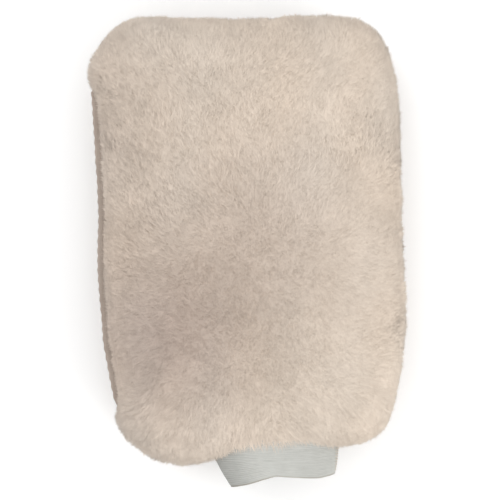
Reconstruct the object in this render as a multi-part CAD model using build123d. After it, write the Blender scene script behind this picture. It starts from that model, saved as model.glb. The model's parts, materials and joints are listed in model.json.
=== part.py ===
from build123d import *
import os
from math import atan2, cos, degrees, hypot, pi, radians, sin, tan

# Wash mitt, lying on its back panel, in millimetres. +X is the mitt's right, +Y points to the
# finger end, +Z is up through the front panel. The origin is under the middle of the mitt.
# Every layer is built for the front half, above the edge seam, and mirrored for the back half.

# ---- overall size ----
MITT_LENGTH = 284.8
PANEL_WIDTH_FINGERS = 184.5
PANEL_WIDTH_WRIST = 158.0
THICKNESS = 60.0
SEAM_Z = THICKNESS / 2
FINGER_EDGE_Y = MITT_LENGTH / 2
CUFF_END_Y = -MITT_LENGTH / 2
WRIST_EDGE_Y = -116.5

# ---- outline corners of the sewn panels: x, y, corner radius ----
FINGER_LEFT = (-95.5, FINGER_EDGE_Y, 26.0)
FINGER_RIGHT = (FINGER_LEFT[0] + PANEL_WIDTH_FINGERS, FINGER_EDGE_Y, 24.0)
RIGHT_BULGE = (96.0, -43.0, 90.0)
WRIST_RIGHT = (85.0, WRIST_EDGE_Y, 16.0)
WRIST_LEFT = (WRIST_RIGHT[0] - PANEL_WIDTH_WRIST, WRIST_EDGE_Y, 16.0)
LEFT_WAIST = (-88.0, -40.0, 150.0)
OUTLINE = [FINGER_LEFT, FINGER_RIGHT, RIGHT_BULGE, WRIST_RIGHT, WRIST_LEFT, LEFT_WAIST]

# A lobe of pile hangs past the wrist edge, beside the cuff.
LOBE_CENTRE = (-48.2, -112.5)
LOBE_SPAN = 52.4
LOBE_HEIGHT = 30.0
LOBE_BLEND = 4.0

# ---- layers, counted inward from the outline and from the outer faces ----
LAYER_GAP = 0.1
HALF_GAP = 0.05
PILE_RIM = 13.0
PILE_DEPTH = 12.5
PILE_ROUNDING = 12.0
BACKING = 2.0
BACKING_ALLOWANCE = 6.0
BACKING_FLANGE = 1.6
LINING_INSET = 27.0
LINING = 1.2
LINING_ALLOWANCE = 5.0
LINING_FLANGE = 1.0
BACKING_INSET = PILE_RIM + LAYER_GAP
BACKING_TOP = SEAM_Z - PILE_DEPTH - LAYER_GAP
LINING_TOP = BACKING_TOP - BACKING - 2 * LAYER_GAP

# ---- wrist tunnel: nested ovals, half width and half height ----
TUNNEL_X = 17.0
TUNNEL_PILE = (40.7, 17.3)
TUNNEL_BACKING = (40.6, 17.2)
BACKING_NECK = 1.6
TUNNEL_CUFF = (38.8, 15.4)
WEBBING = 1.8
TUNNEL_LINING = (36.9, 13.5)
TUNNEL_BINDING = (35.6, 12.2)
BINDING = 1.0
SEWN_END_Y = -104.0
LINING_NECK_END_Y = -112.0
BINDING_START_Y = -103.0
LINING_WALL_Y = WRIST_EDGE_Y + LINING_INSET + LINING
BACKING_WALL_Y = WRIST_EDGE_Y + BACKING_INSET + BACKING
TUNNEL_DEPTH = 40.0

# ---- free part of the cuff ----
CUFF_HINGE_Y = -117.0
CUFF_OPEN_Y = -121.6
MOUTH_X = 22.2
MOUTH = (31.0, 14.2)
MOUTH_RIGHT_Y = -134.0
MOUTH_RIGHT_X = 53.0
MOUTH_LEFT_X = MOUTH_X - MOUTH[0]
CUFF_FLEX = 15.0
FOLD_HALF_HEIGHT = 7.0
SLIT = 0.2
RUBBER_PITCH = 1.25
RUBBER = 0.6

# ---- bends of the hand part ----
KNUCKLE_Y = -25.0
FINGER_Y = 35.0
BEND = 35.0
BEND_MARGIN = 2.0

# ---- stitches ----
STITCH_PITCH = 10.0
STITCH_BAR = 5.0
THREAD = 0.6
STITCH_CLEAR = 4.0
SHELL_STITCH_INSET = 18.0
LINING_STITCH_INSET = 24.5
ATTACH_STITCHES = 28
ATTACH_Y = -108.0
TACKS = 5
TACK_PITCH = 24.0
TACK_SIZE = (1.0, 4.8, 6.4)
TACK_THREAD = 0.8
JOIN_ROWS = 5
JOIN_PITCH = 3.6
JOIN_BAR = 2.4

FAR = 400.0


def panel(inset):
    """The sewn outline as a face, moved inward."""
    line = FilletPolyline(*[(x, y) for x, y, r in OUTLINE], radius=[r for x, y, r in OUTLINE], close=True)
    face = make_face(line)
    if inset == 0:
        return face
    return offset(face, amount=-inset)


def pile_panel():
    """The outline with the lobe of pile beside the cuff."""
    lobe = Pos(*LOBE_CENTRE) * SlotOverall(LOBE_SPAN, LOBE_HEIGHT)
    face = panel(0) + lobe
    inner_corner = face.vertices().sort_by_distance((LOBE_CENTRE[0] + LOBE_SPAN / 2, WRIST_EDGE_Y))[0]
    return fillet(inner_corner, LOBE_BLEND)


def oval_at(y, x, half, grow=0.0):
    """An oval face across the cuff at one distance along it."""
    plane = Plane(origin=(x, y, 0), x_dir=(1, 0, 0), z_dir=(0, -1, 0))
    return plane * Ellipse(half[0] + grow, half[1] + grow)


def oval_bar(half, start_y, end_y, grow=0.0):
    """A straight oval bar in the wrist tunnel, from start_y towards the cuff to end_y."""
    return extrude(oval_at(start_y, TUNNEL_X, half, grow), amount=start_y - end_y)


def oval_ring(half, wall, start_y, end_y):
    return oval_bar(half, start_y, end_y) - oval_bar(half, start_y + 1, end_y - 1, -wall)


def front_half():
    """Everything above the edge seam."""
    return Pos(0, 0, HALF_GAP + FAR / 2) * Box(2 * FAR, 2 * FAR, FAR)


def tray(inset, top, wall, floor):
    """A shallow open box with the panel's outline, its floor uppermost."""
    return extrude(panel(inset), amount=top) - extrude(panel(inset + wall), amount=top - floor)


def front_pile():
    solid = extrude(pile_panel(), amount=SEAM_Z)
    solid = fillet(solid.faces().sort_by(Axis.Z)[-1].edges(), PILE_ROUNDING)
    solid -= extrude(panel(PILE_RIM), amount=SEAM_Z - PILE_DEPTH)
    solid -= oval_bar(TUNNEL_PILE, WRIST_EDGE_Y + PILE_RIM + 1, CUFF_END_Y)
    return solid & front_half()


def front_backing():
    solid = tray(BACKING_INSET, BACKING_TOP, BACKING, BACKING)
    allowance = panel(BACKING_INSET) - panel(BACKING_INSET + BACKING + BACKING_ALLOWANCE)
    solid += extrude(allowance, amount=BACKING_FLANGE)
    solid += oval_bar(TUNNEL_BACKING, BACKING_WALL_Y - LAYER_GAP, WRIST_EDGE_Y)
    solid -= oval_bar(TUNNEL_BACKING, WRIST_EDGE_Y + TUNNEL_DEPTH, CUFF_END_Y, -BACKING_NECK)
    return solid & front_half()


def front_lining():
    solid = tray(LINING_INSET, LINING_TOP, LINING, LINING)
    allowance = panel(LINING_INSET - LINING_ALLOWANCE) - panel(LINING_INSET + LINING / 2)
    solid += extrude(allowance, amount=LINING_FLANGE)
    solid += oval_bar(TUNNEL_LINING, LINING_WALL_Y - LAYER_GAP, LINING_NECK_END_Y)
    solid -= oval_bar(TUNNEL_LINING, WRIST_EDGE_Y + TUNNEL_DEPTH, CUFF_END_Y, -LINING)
    return solid & front_half()


def bend_profile(low_y, high_y):
    """The side view of one section: its upper corners lean back to leave room for the bend."""
    lean = (THICKNESS - SEAM_Z) * tan(radians(BEND / 2 + BEND_MARGIN))
    low = low_y + SLIT
    high = high_y - SLIT
    points = [(low, -THICKNESS), (high, -THICKNESS), (high, 0)]
    points += [(high - 2 * lean, 2 * SEAM_Z), (low + 2 * lean, 2 * SEAM_Z), (low, 0)]
    side = Plane(origin=(-FAR / 2, 0, 0), x_dir=(0, 1, 0), z_dir=(1, 0, 0))
    return extrude(side * make_face(Polyline(*points, close=True)), amount=FAR)


SECTIONS = {
    "palm": (-FAR, KNUCKLE_Y),
    "middle": (KNUCKLE_Y, FINGER_Y),
    "fingers": (FINGER_Y, FAR),
}


OUTLINE_BOX = panel(0).bounding_box()
OUTLINE_MIDDLE_X = (OUTLINE_BOX.min.X + OUTLINE_BOX.max.X) / 2


def place(shape):
    """From the edge seam's height, with the widest part centred, to the finished frame."""
    return Pos(-OUTLINE_MIDDLE_X, 0, SEAM_Z) * shape


def write(name, solids):
    shape = Compound(children=[place(solid) for solid in solids])
    export_step(shape, "parts/" + name + ".step")


def write_layer(name, half):
    """One fabric layer, cut at the two bends, as front and back nodes."""
    for section, (low, high) in SECTIONS.items():
        piece = half & bend_profile(low, high)
        mirrored = mirror(half, about=Plane.XY) & bend_profile(low, high)
        write("front_" + name + "_" + section, piece.solids())
        write("back_" + name + "_" + section, mirrored.solids())


def in_tunnel(x, y):
    return y < SEWN_END_Y + PILE_RIM and abs(x - TUNNEL_X) < TUNNEL_PILE[0] + STITCH_CLEAR


def edge_stitch(reach):
    """One lock stitch across the seam: a bar on each side and the thread through."""
    stitch = Box(THREAD, THREAD, 2 * reach)
    for side in (-1, 1):
        stitch += Pos(0, 0, side * (reach - THREAD / 2)) * Box(STITCH_BAR, THREAD, THREAD)
    return stitch


def seam_stitches(inset, flange):
    """Stitches round one seam, sorted into the three sections."""
    wire = panel(inset).wires()[0]
    count = int(wire.length / STITCH_PITCH)
    stitch = edge_stitch(flange + THREAD)
    found = {section: [] for section in SECTIONS}
    for index in range(count):
        at = index / count
        point = wire.position_at(at)
        along = wire.tangent_at(at)
        if in_tunnel(point.X, point.Y):
            continue
        turn = degrees(atan2(along.Y, along.X))
        for section, (low, high) in SECTIONS.items():
            if low + STITCH_CLEAR < point.Y < high - STITCH_CLEAR:
                found[section].append(Location((point.X, point.Y, 0), (0, 0, turn)) * stitch)
    return found


def write_seam(name, inset, flange):
    for section, stitches in seam_stitches(inset, flange).items():
        write(name + "_" + section, stitches)


def lining_tacks():
    """Loose loops that tie the lining's seam allowance to the shell's, at the finger end."""
    loop = Box(*TACK_SIZE)
    loop -= Box(2 * TACK_SIZE[0], TACK_SIZE[1] - 2 * TACK_THREAD, TACK_SIZE[2] - 2 * TACK_THREAD)
    allowance_inset = BACKING_INSET + BACKING + BACKING_ALLOWANCE
    y = FINGER_EDGE_Y - (allowance_inset + LINING_INSET - LINING_ALLOWANCE) / 2
    start = -(TACKS - 1) / 2
    return [Pos((start + index) * TACK_PITCH + STITCH_PITCH / 2, y, 0) * loop for index in range(TACKS)]


def cuff_share(y):
    """How far a point is from the cuff's hinge to its mouth, 0 to 1."""
    return (CUFF_HINGE_Y - y) / (CUFF_HINGE_Y - CUFF_END_Y)


def cuff_oval(y, grow=0.0):
    """Centre x and half sizes of the tapering cuff at y."""
    t = cuff_share(y)
    half = [a + (b - a) * t + grow for a, b in zip(TUNNEL_CUFF, MOUTH)]
    return TUNNEL_X + (MOUTH_X - TUNNEL_X) * t, half


def cuff_bar(grow, start_y=CUFF_HINGE_Y, end_y=CUFF_END_Y):
    faces = []
    for y in (start_y, end_y):
        x, half = cuff_oval(y, grow)
        faces.append(oval_at(y, x, half))
    return loft(faces)


def cuff_keep():
    """The free cuff's side and top limits: room to flex at the hinge, and a slanting mouth."""
    slope = (MOUTH_RIGHT_Y - CUFF_END_Y) / (MOUTH_RIGHT_X - MOUTH_LEFT_X)
    left_y = CUFF_END_Y - slope * (FAR / 4)
    right_y = CUFF_END_Y + slope * (FAR / 4)
    corners = [(MOUTH_LEFT_X - FAR / 4, left_y), (MOUTH_LEFT_X + FAR / 4, right_y)]
    corners += [(MOUTH_LEFT_X + FAR / 4, CUFF_HINGE_Y), (MOUTH_LEFT_X - FAR / 4, CUFF_HINGE_Y)]
    mouth = extrude(make_face(Polyline(*corners, close=True)), amount=SEAM_Z, both=True)
    lean = SEAM_Z * tan(radians(CUFF_FLEX + 1))
    hinge = CUFF_HINGE_Y - SLIT
    outer = hinge - FAR / 4
    points = [(outer, -SEAM_Z), (hinge - lean, -SEAM_Z), (hinge, 0)]
    points += [(hinge - lean, SEAM_Z), (outer, SEAM_Z)]
    side = Plane(origin=(-FAR / 2, 0, 0), x_dir=(0, 1, 0), z_dir=(1, 0, 0))
    return mouth & extrude(side * make_face(Polyline(*points, close=True)), amount=FAR)


def cuff_slices():
    """Where the side folds, the front wall and the back wall lie. The walls swing open at CUFF_OPEN_Y."""
    wall = SEAM_Z - FOLD_HALF_HEIGHT - SLIT
    middle = FOLD_HALF_HEIGHT + SLIT + wall / 2
    wall_y = CUFF_OPEN_Y - FAR / 2
    return {
        "side_folds": Box(FAR, FAR, 2 * FOLD_HALF_HEIGHT),
        "front_wall": Pos(0, wall_y, middle) * Box(FAR, FAR, wall),
        "back_wall": Pos(0, wall_y, -middle) * Box(FAR, FAR, wall),
    }


def write_cuff():
    """The elastic webbing loop: its sewn edge, then the free part in four pieces."""
    inset = (WEBBING - RUBBER) / 2
    sewn = oval_ring(TUNNEL_CUFF, WEBBING, SEWN_END_Y, WRIST_EDGE_Y)
    write("cuff_sewn_edge", sewn.solids())
    threads = []
    rows = int((SEWN_END_Y - WRIST_EDGE_Y) / RUBBER_PITCH)
    for row in range(1, rows):
        y = SEWN_END_Y - row * RUBBER_PITCH
        half = [size - inset for size in TUNNEL_CUFF]
        threads += oval_ring(half, RUBBER, y, y - RUBBER).solids()
    write("cuff_rubber_sewn_edge", threads)
    keep = cuff_keep()
    free = (cuff_bar(0) - cuff_bar(-WEBBING)) & keep
    rings = []
    rows = int((CUFF_HINGE_Y - CUFF_END_Y) / RUBBER_PITCH)
    for row in range(1, rows):
        y = CUFF_HINGE_Y - row * RUBBER_PITCH
        outer = cuff_bar(-inset, y, y - RUBBER)
        rings.append(outer - cuff_bar(-inset - RUBBER, y, y - RUBBER))
    inner_keep = Pos(0, RUBBER_PITCH / 2, 0) * keep
    inner_keep &= keep
    for name, height in cuff_slices().items():
        write("cuff_" + name, (free & height).solids())
        short = inner_keep & height
        pieces = []
        for ring in rings:
            cut = ring & short
            pieces += cut.solids() if cut else []
        write("cuff_rubber_" + name, pieces)


def cuff_join_stitches():
    """Rows of thread that close the webbing loop, on its right-hand fold."""
    stitches = []
    for row in range(JOIN_ROWS):
        y = CUFF_HINGE_Y - JOIN_PITCH * (row + 0.5)
        x, half = cuff_oval(y)
        for side in (-1, 1):
            z = side * FOLD_HALF_HEIGHT / 4
            reach = half[0] * (1 - (z / half[1]) ** 2) ** 0.5
            thread = Pos(x + reach, y, z) * Box(THREAD, JOIN_BAR, THREAD)
            post = Pos(x + reach - WEBBING / 2, y, z) * Box(WEBBING, THREAD, THREAD)
            stitches.append(thread + post)
    return stitches


def attach_stitches():
    """Thread through the shell, the webbing, the lining and the binding, round the opening."""
    outer = [size - THREAD for size in TUNNEL_BACKING]
    inner = [size - BINDING for size in TUNNEL_BINDING]
    stitches = []
    for index in range(ATTACH_STITCHES):
        angle = 2 * pi * (index + 0.5) / ATTACH_STITCHES
        start = (outer[0] * cos(angle), outer[1] * sin(angle))
        end = (inner[0] * cos(angle), inner[1] * sin(angle))
        length = hypot(start[0] - end[0], start[1] - end[1])
        outward = ((start[0] - end[0]) / length, 0, (start[1] - end[1]) / length)
        post = Box(length, THREAD, THREAD)
        bar = Pos(-length / 2, 0, 0) * Box(THREAD, THREAD, STITCH_BAR)
        x = TUNNEL_X + (start[0] + end[0]) / 2
        z = (start[1] + end[1]) / 2
        place_across = Plane(origin=(x, ATTACH_Y, z), x_dir=outward, z_dir=(0, -1, 0))
        stitches.append(place_across * (post + bar))
    return stitches


def opening_binding():
    """Folded tape over the raw edges at the wrist opening."""
    fold_y = LINING_NECK_END_Y - LAYER_GAP
    fold_width = TUNNEL_LINING[0] - TUNNEL_BINDING[0] + BINDING
    inside = oval_ring(TUNNEL_BINDING, BINDING, BINDING_START_Y, fold_y)
    fold = oval_ring(TUNNEL_LINING, fold_width, fold_y, fold_y - BINDING)
    return (inside + fold).solids()


write_layer("pile", front_pile())
write_layer("backing", front_backing())
write_layer("lining", front_lining())
write_seam("shell_seam", SHELL_STITCH_INSET, BACKING_FLANGE)
write_seam("lining_seam", LINING_STITCH_INSET, LINING_FLANGE)
write("lining_tacks", lining_tacks())
write("opening_binding", opening_binding())
write("cuff_attach_seam", attach_stitches())
write("cuff_join_seam", cuff_join_stitches())
write_cuff()
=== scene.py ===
import json
import math
import bmesh
import bpy
import numpy as np
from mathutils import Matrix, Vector, kdtree


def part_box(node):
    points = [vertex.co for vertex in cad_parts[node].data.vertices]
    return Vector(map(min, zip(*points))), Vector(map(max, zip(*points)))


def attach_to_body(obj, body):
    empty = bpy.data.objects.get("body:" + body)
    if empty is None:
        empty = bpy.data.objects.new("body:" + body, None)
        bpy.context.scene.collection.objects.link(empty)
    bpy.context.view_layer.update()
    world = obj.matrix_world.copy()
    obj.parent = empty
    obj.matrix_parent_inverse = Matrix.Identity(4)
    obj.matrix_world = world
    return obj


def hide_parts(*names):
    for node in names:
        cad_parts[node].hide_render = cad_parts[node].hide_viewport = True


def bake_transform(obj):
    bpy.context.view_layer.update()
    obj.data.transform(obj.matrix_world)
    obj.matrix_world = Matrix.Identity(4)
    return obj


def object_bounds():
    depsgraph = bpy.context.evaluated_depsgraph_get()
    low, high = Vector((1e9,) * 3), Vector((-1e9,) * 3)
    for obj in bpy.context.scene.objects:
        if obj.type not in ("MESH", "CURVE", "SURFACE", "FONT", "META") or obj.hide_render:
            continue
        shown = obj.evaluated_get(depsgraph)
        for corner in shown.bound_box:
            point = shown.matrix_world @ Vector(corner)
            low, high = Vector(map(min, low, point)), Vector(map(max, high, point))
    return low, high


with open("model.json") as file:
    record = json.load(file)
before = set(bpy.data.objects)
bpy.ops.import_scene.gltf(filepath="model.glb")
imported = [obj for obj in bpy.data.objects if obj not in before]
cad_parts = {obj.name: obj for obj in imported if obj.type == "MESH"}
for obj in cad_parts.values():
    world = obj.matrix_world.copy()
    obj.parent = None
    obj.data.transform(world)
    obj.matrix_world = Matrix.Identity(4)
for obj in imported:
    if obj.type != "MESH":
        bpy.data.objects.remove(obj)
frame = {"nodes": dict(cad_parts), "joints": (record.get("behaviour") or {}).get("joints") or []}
cad_low, cad_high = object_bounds()

# A car-washing mitt of dense beige pile with a ribbed elastic cuff, lying on its back panel with
# its fingers towards +Y. From outside to inside it has tufts, their dense foot, a woven backing
# and a lining, with a sewn edge between its two panels and the cuff in its wrist opening.
# Lengths are millimetres here, and become metres when a mesh is made.

# ---- places that the CAD model gives ----
MM = 0.001
JOINTS = {joint["name"]: joint for joint in frame["joints"]}
MID_Z = JOINTS["knuckle_bend"]["pos_m"][2] / MM
KNUCKLE_Y = JOINTS["knuckle_bend"]["pos_m"][1] / MM
FINGER_Y = JOINTS["finger_bend"]["pos_m"][1] / MM
CUFF_HINGE_Y = JOINTS["cuff_flex"]["pos_m"][1] / MM
SPLIT_Y = (KNUCKLE_Y + FINGER_Y) / 2
TOP_Z = cad_high.z / MM

# ---- outline of the pile tips, clockwise from the left side of the finger end ----
OUTLINE = [
    (-96.0, 106.0), (-92.9, 117.5), (-87.6, 127.4), (-80.2, 134.6), (-66.5, 140.4),
    (-9.0, 140.0), (45.0, 142.0), (70.5, 138.0), (83.2, 124.0), (88.6, 101.0),
    (91.2, 58.0), (92.6, 0.0), (94.4, -42.0), (90.5, -76.0), (84.5, -102.0),
    (75.0, -111.5), (58.0, -115.7), (20.0, -118.4), (-8.0, -118.4), (-24.0, -124.3),
    (-40.0, -127.3), (-58.0, -123.0), (-72.6, -113.0), (-78.7, -100.5), (-82.6, -86.0),
    (-88.8, -48.0), (-91.8, -4.0), (-91.3, 24.0), (-94.0, 72.0),
]
OUTLINE_STEPS = 480
# Every layer's outline is this one moved towards a spine along Y, between these two ends.
SPINE_LOW_Y, SPINE_HIGH_Y = -45.0, 72.0

# ---- on the left the edge seam shows past the pile: it fades in, and out, over these ----
BARE_SEAM_IN_Y = (-102.0, -90.0)
BARE_SEAM_OUT_Y = (97.0, 105.0)
BARE_SEAM_LEFT = (60.0, 72.0)

# ---- layers: insets from the outline, heights from the edge seam, and cloth thicknesses ----
ROOT_INSET = 3.6
BARE_SEAM_INSET = 3.9
ROOT_TOP = TOP_Z - MID_Z - 5.0
ROOT_BOTTOM = MID_Z - 4.0
RIM = 25.0
BACKING_INSET = 13.1
BACKING_HALF = 17.4
BACKING_RIM = 12.0
BACKING = 2.0
LINING_INSET = 27.0
LINING_HALF = 13.8
LINING_RIM = 13.0
LINING = 1.2
NECK_START_Y, NECK_END_Y = -70.0, -112.0
WRIST_WALL_Y = -88.0

# ---- soft shapes: voxels, and how the cushion that the pile grows from is blown up ----
SKIN_VOXEL, LINING_VOXEL = 5.0, 2.5
PUFF_ROOM = 2.5
PRESSURE = 4.0
PUFF_FRAMES = 20
SEAM_HOLD = 6.0
PUFF_CAP = 4.0

# ---- cuts and clearances ----
BEYOND = 300.0
PAST_CUFF_Y = -200.0
WELD = 0.002

# ---- wrist tunnel and cuff ----
SEWN_LOW, SEWN_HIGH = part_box("cuff_sewn_edge")
TUNNEL_X = (SEWN_LOW.x + SEWN_HIGH.x) / 2 / MM
CUFF_HALF = ((SEWN_HIGH.x - SEWN_LOW.x) / 2 / MM, (SEWN_HIGH.z - SEWN_LOW.z) / 2 / MM)
SEWN_START_Y = SEWN_HIGH.y / MM
PILE_TUNNEL = (CUFF_HALF[0] + 1.9, CUFF_HALF[1] + 1.9)
BACKING_TUNNEL = (CUFF_HALF[0] + 0.3, CUFF_HALF[1] + 0.3)
LINING_NECK = (CUFF_HALF[0] - 1.9, CUFF_HALF[1] - 1.9)

# ---- pile: shape of the tufts ----
SEED = 20
# Kinds of tuft: rings of corners, tufts per square millimetre, spread of lean, and width range.
TUFT_KINDS = [(2, 0.9, 7.0, (0.75, 1.05)), (1, 3.0, 10.0, (0.5, 0.7))]
PILE_LENGTH, LENGTH_SPREAD = 7.0, 0.6
# Lean in degrees: in the middle and at the edge, less on the rim, more on the back.
LEAN_MIDDLE, LEAN_EDGE, LEAN_RIM, LEAN_BACK = 27.0, 46.0, -12.0, 26.0
LEAN_LIMITS = (2, 82)
EDGE_DISTANCE = 80
# A tuft leans less at its foot than past its knee, which is this share of the way along.
FOOT_LEAN, TIP_LEAN = 0.7, 1.25
KNEE = 0.55
RING_RADII = (0.5, 0.42)
SIDE_SPREAD = 0.15
LOWEST_TIP = 0.3
SUNK = 0.8
# Tips are drawn together in locks, one for this share of the tufts.
LOCK_SHARE = 0.05
GATHER, RIM_GATHER = 0.12, 0.3
# Over the cuff the tufts hang: longer and flatter, over this stretch and width.
HANG_Y = (-106, -94)
HANG_X = TUNNEL_X - 4
HANG_HALF = CUFF_HALF[0] + 3
HANG_Z = (MID_Z + 2, MID_Z + 8)
HANG_LENGTH = 1.0
HANG_LEAN = 14
# The pile is shorter by this share where the edge seam shows.
BARE_LENGTH = -0.25
# No pile grows in the wrist opening, below this Y, apart from a fringe this wide round it.
OPENING_Y = -60
OPENING_FRINGE = 1.5

# ---- pile: the way that it lies ----
FLOW_CENTRE = (0.0, -38.0)
FALL_TO_SEAM = 0.8
TWIST = 0.4
LOOSE_TWIST = 1.3
LOOSE_WITHIN = (10, 75)
# Each noise is an amount, a size in millimetres and a seed.
SWIRLS = [(0.55, 70, 3), (0.35, 22, 4)]
LENGTH_NOISE = (0.06, 16, 21)
LEAN_NOISE = (5, 25, 22)
RIM_LENGTH_NOISE = (0.09, 7, 23)

# ---- pile: tones ----
# Painted light: the root colour is paler than the tip, in place of light scattered within the pile.
PILE_ROOT = (0.735, 0.629, 0.530)
PILE_TIP = (0.668, 0.572, 0.482)
FIBRE_SHADE = 0.06
TONE_SPREAD = 0.02
TONE_NOISES = [(0.020, 60, 11), (0.018, 20, 12), (0.012, 8, 13)]
WARMTH_NOISE = (0.010, 40, 14)
# Clumps of tufts: spacing, spread of brightness, and how dark the painted shade in the partings between
# them is.
CLUMPS = [(2.6, 0.022, 0.0), (9.0, 0.010, 0.05)]
CLUMP_LEFT, CLUMP_RIGHT = 1.2, 0.4
CLUMP_FADE = (-40, 60)
PARTING_NOISE = (1.0, 30, 15)
PARTING_SHOWN = (-0.2, 0.8)
PARTING_CLOSE = (0.7, 1.0)
# Patches of painted shade, where the pile is partly matted too, and a last one of painted light towards the
# key lamp: centre, size, and how much darker.
MATTED_AND_PAINTED_LIGHT_PATCHES = [
    ((-47.0, -50.0), (48.0, 48.0), 0.23),
    ((5.0, 10.0), (52.0, 52.0), 0.10),
    ((-84.0, 62.0), (32.0, 80.0), 0.07),
    ((50.0, -96.0), (70.0, 40.0), -0.02),
]
# The patches' painted shade and light change green and blue more than red, by these factors.
PAINTED_PATCH_HUE = (1.0, 1.16, 1.10)

# ---- pile: pieces, and what light they stop ----
# Tufts that face up, sideways and down, by the height of their normal.
PLACES = [("front", 0.55, 2), ("rim", -0.55, 0.55), ("back", -2, -0.55)]
MOST_FACES = 190000
FIBRE_SHADOWS = False
# Share of tufts that block scattered light: on the front's left, on its right, and elsewhere.
CASTING_LEFT, CASTING_RIGHT, CASTING_RIM = 0.22, 0.09, 0.35
CASTING_FADE = (-60, 60)

# ---- edge seam ----
SEAM_DEPTH = 10.0
SEAM_HALF = 1.9
SEAM_SECTIONS = 14
SEAM_TUCK = 5.0
PUCKER_PITCH = 6.0

# ---- floor, light and camera: places and sizes of the lamps and the view are metres ----
FLOOR_COLOUR = (0.97, 0.97, 0.97, 1)
FLOOR_REACH = 2500
WORLD = 1.03
KEY, FILL = 5.0, 3.5
KEY_PLACE, KEY_SIZE, KEY_COLOUR = (0.95, -0.6, 0.62), 0.7, (1.0, 0.985, 0.96)
FILL_PLACE, FILL_SIZE = (-0.75, 0.6, 0.9), 0.9
LENS = 85
VIEW_WIDTH = 0.300
VIEW_CENTRE = (0.0011, 0.0015)
# The view is that wide at the height where the pile's outline is, this far above the seam.
CAMERA_PLANE = 11.0


def smooth(x, low, high):
    """0 before low, 1 after high, smooth between."""
    t = np.clip((x - low) / (high - low), 0, 1)
    return t * t * (3 - 2 * t)


def shade(mesh):
    """Smooth shading that keeps real edges crisp."""
    mesh.shade_smooth()
    mesh.set_sharp_from_angle(angle=math.radians(50))


def mesh_object(name, points, faces, smooth_shade=True):
    """A mesh object from millimetre points."""
    mesh = bpy.data.meshes.new(name)
    mesh.from_pydata((np.asarray(points, float) * MM).tolist(), [], faces)
    mesh.validate()
    mesh.update()
    if smooth_shade:
        shade(mesh)
    obj = bpy.data.objects.new(name, mesh)
    bpy.context.scene.collection.objects.link(obj)
    return obj


def vectors_of(obj, name):
    out = np.empty(len(obj.data.vertices) * 3)
    obj.data.vertices.foreach_get(name, out)
    return out.reshape(-1, 3)


def points_of(obj):
    return vectors_of(obj, "co") / MM


def normals_of(obj):
    return vectors_of(obj, "normal")


def set_points(obj, points):
    obj.data.vertices.foreach_set("co", (points * MM).ravel())
    obj.data.update()


def apply_modifiers(obj):
    graph = bpy.context.evaluated_depsgraph_get()
    mesh = bpy.data.meshes.new_from_object(obj.evaluated_get(graph))
    obj.modifiers.clear()
    obj.data = mesh
    shade(mesh)
    return obj


def modify(obj, kind, **settings):
    """Adds one modifier and applies it."""
    step = obj.modifiers.new("step", kind)
    for key, value in settings.items():
        setattr(step, key, value)
    apply_modifiers(obj)


def remesh(obj, size):
    modify(obj, "REMESH", mode="VOXEL", voxel_size=size * MM)


def remove(*objs):
    for obj in objs:
        bpy.data.objects.remove(obj)


def cut(obj, other, operation):
    """Joins, cuts or keeps what is inside other, then welds the slivers that are left."""
    modify(obj, "BOOLEAN", object=other, operation=operation, solver="EXACT")
    work = bmesh.new()
    work.from_mesh(obj.data)
    bmesh.ops.remove_doubles(work, verts=work.verts, dist=WELD * MM)
    bmesh.ops.dissolve_degenerate(work, edges=work.edges, dist=WELD * MM)
    work.to_mesh(obj.data)
    work.free()
    shade(obj.data)


def dress(obj, material):
    obj.data.materials.clear()
    obj.data.materials.append(material)


def copy_of(obj, name):
    new = obj.copy()
    new.data = obj.data.copy()
    new.name = name
    bpy.context.scene.collection.objects.link(new)
    return new


# ---------------------------------------------------------------- outline and pillow shapes


def closed_curve(points, count):
    """Evenly spaced points along a closed Catmull-Rom curve."""
    control = np.array(points, float)
    fine = []
    steps = 40
    for k in range(len(control)):
        a, b, c, d = (control[(k + i) % len(control)] for i in (-1, 0, 1, 2))
        for t in np.arange(steps) / steps:
            fine.append(0.5 * (2 * b + (c - a) * t + (2 * a - 5 * b + 4 * c - d) * t**2
                               + (3 * b - a - 3 * c + d) * t**3))
    loop = np.vstack([fine, fine[:1]])
    length = walk_along(loop)
    at = np.linspace(0, length[-1], count, endpoint=False)
    return np.c_[np.interp(at, length, loop[:, 0]), np.interp(at, length, loop[:, 1])]


def walk_along(path):
    """Distance from the first point to each point of a path."""
    return np.r_[0, np.cumsum(np.linalg.norm(np.diff(path, axis=0), axis=1))]


TIP_OUTLINE = closed_curve(OUTLINE, OUTLINE_STEPS)
SPINE = np.c_[np.zeros(OUTLINE_STEPS), np.clip(TIP_OUTLINE[:, 1], SPINE_LOW_Y, SPINE_HIGH_Y)]
INWARD = SPINE - TIP_OUTLINE
INWARD_LENGTH = np.linalg.norm(INWARD, axis=1, keepdims=True)


def bare_seam(points):
    """1 along the left edge where the seam shows past the pile, 0 elsewhere."""
    weight = smooth(points[:, 1], *BARE_SEAM_IN_Y)
    weight *= 1 - smooth(points[:, 1], *BARE_SEAM_OUT_Y)
    return weight * smooth(-points[:, 0], *BARE_SEAM_LEFT)


BARE = bare_seam(TIP_OUTLINE)[:, None]


def inset_ring(distance):
    """The outline moved towards the spine, by one distance or by one for each point."""
    return TIP_OUTLINE + INWARD * np.minimum(distance / INWARD_LENGTH, 1)


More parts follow.
